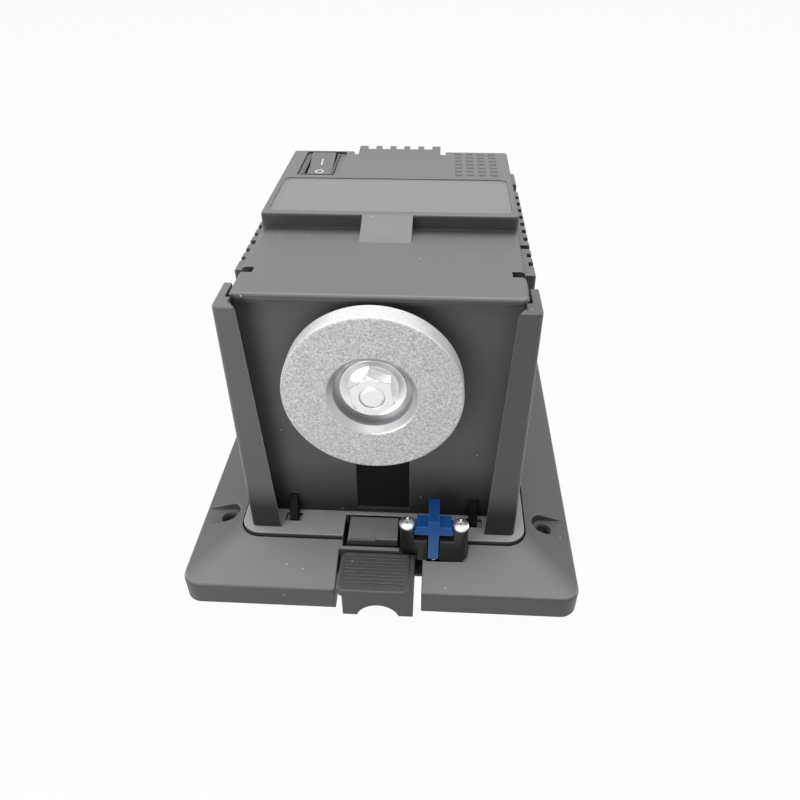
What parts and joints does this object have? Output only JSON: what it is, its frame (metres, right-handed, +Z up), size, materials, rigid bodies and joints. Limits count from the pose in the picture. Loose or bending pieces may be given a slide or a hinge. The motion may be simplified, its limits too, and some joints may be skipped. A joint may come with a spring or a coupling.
{
  "type": "bench grinding sharpener",
  "caption": "Compact bench sharpener: dished grinding wheel on a boxed motor, dovetail guide posts for sliding heads, release lever, sprung safety plunger and hipped screw-down base.",
  "frame": {"origin": "middle of the footprint, on the surface that the feet stand on", "axes": "+Z up, +Y towards the back, +X to the right seen from the front, where the wheel is"},
  "size_m": [0.138, 0.166, 0.1182],
  "materials": {
    "body_plastic": "fine-textured charcoal ABS",
    "switch_plastic": "black, half gloss",
    "plunger_blue": "blue acetal",
    "foot_rubber": "black rubber",
    "wheel_grit": "grey bonded grit on a metal body",
    "plated_steel": "bright nickel plate",
    "screw_steel": "zinc plate",
    "spring_steel": "drawn wire",
    "core_steel": "stacked laminations",
    "coil_copper": "enamelled copper wire",
    "cast_alloy": "die cast",
    "bush_bronze": "sintered bronze",
    "terminal_brass": "stamped brass",
    "fan_plastic": "natural nylon"
  },
  "bodies": {
    "machine": {"base_flange": "body_plastic", "bottom_cover": "body_plastic", "rubber_feet": "foot_rubber", "bottom_screws": "screw_steel", "plinth": "body_plastic", "front_panel": "body_plastic", "left_guide_post": "body_plastic", "right_guide_post": "body_plastic", "housing": "body_plastic", "left_grille": "body_plastic", "right_grille": "body_plastic", "rear_grille": "body_plastic", "top_cover": "body_plastic", "switch_frame": "switch_plastic", "switch_terminals": "terminal_brass", "motor_cradle": "body_plastic", "cradle_screws": "screw_steel", "motor_strap": "plated_steel", "strap_screws": "screw_steel", "stator_core": "core_steel", "stator_coils": "coil_copper", "front_motor_bracket": "cast_alloy", "rear_motor_bracket": "cast_alloy", "motor_bolts": "screw_steel", "front_bush": "bush_bronze", "rear_bush": "bush_bronze", "lever_pivot_pin": "plated_steel", "lever_spring": "spring_steel", "interlock_block": "switch_plastic", "interlock_screws": "plated_steel", "interlock_switch": "switch_plastic", "plunger_spring": "spring_steel", "cable_gland": "foot_rubber", "housing_screws": "screw_steel"},
    "spindle": {"spindle_shaft": "plated_steel", "rotor_core": "core_steel", "cooling_fan": "fan_plastic", "grinding_wheel": "wheel_grit", "backing_flange": "plated_steel", "cup_washer": "plated_steel", "wheel_nut": "plated_steel"},
    "rocker": {"switch_rocker": "switch_plastic"},
    "lever": {"release_lever": "body_plastic"},
    "plunger": {"interlock_plunger": "plunger_blue", "interlock_button": "plunger_blue"}
  },
  "joints": [
    {"name": "spindle_spin", "type": "hinge", "parent": "machine", "child": "spindle", "pos_m": [-0.0015, 0, 0.0821], "axis": [0, 1, 0], "continuous": true},
    {"name": "rocker_tilt", "type": "hinge", "parent": "machine", "child": "rocker", "pos_m": [-0.031, 0.0511, 0.1102], "axis": [-1, 0, 0], "range_deg": [0, 16]},
    {"name": "lever_press", "type": "hinge", "parent": "machine", "child": "lever", "pos_m": [0, -0.0462, 0.0095], "axis": [1, 0, 0], "range_deg": [0, 3.5], "stiffness_Nm_per_rad": 0.6, "springref_deg": -3.44, "deforming": ["lever_spring"]},
    {"name": "plunger_press", "type": "slide", "parent": "machine", "child": "plunger", "axis": [0, 0, -1], "range_m": [0, 0.0025], "stiffness_N_per_m": 300, "springref_m": -0.004, "deforming": ["plunger_spring"]}
  ]
}
